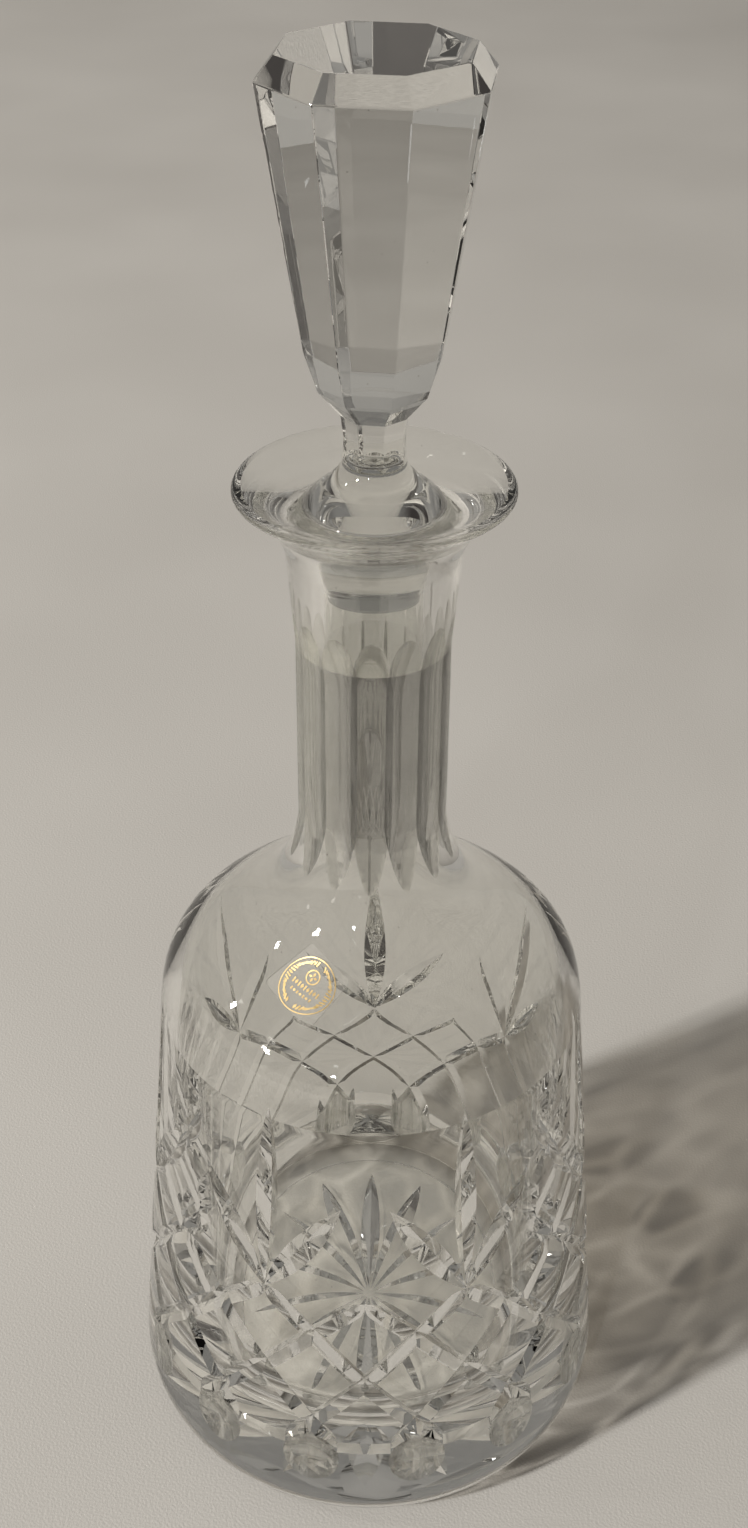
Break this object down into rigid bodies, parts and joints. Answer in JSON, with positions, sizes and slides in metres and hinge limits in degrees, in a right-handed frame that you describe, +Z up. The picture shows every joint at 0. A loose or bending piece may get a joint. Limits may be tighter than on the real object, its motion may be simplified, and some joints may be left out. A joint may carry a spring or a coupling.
{
  "type": "cut crystal decanter",
  "caption": "Clear cut crystal decanter: tapered body cut with leaf fans and a diamond band, fluted neck, dished lip, lift-out octagonal stopper and a small gold seal label.",
  "frame": {"origin": "centre of the resting ring, on the surface that the decanter stands on", "axes": "+Z up along the bottle's axis, -Y towards the front, where the band's middle diamond column is; the label is on the left of the front"},
  "size_m": [0.1108, 0.1112, 0.3205],
  "materials": {
    "bottle_crystal": "polished clear lead crystal",
    "stopper_crystal": "polished clear lead crystal",
    "label_film": "clear sticker film",
    "gold_foil": "bright gold foil print"
  },
  "bodies": {
    "bottle": {"decanter_bottle": "bottle_crystal", "label_film": "label_film", "label_seal": "gold_foil"},
    "stopper": {"stopper": "stopper_crystal"}
  },
  "joints": [
    {"name": "stopper_lift", "type": "slide", "parent": "bottle", "child": "stopper", "axis": [0, 0, 1], "range_m": [0, 0.045]}
  ]
}
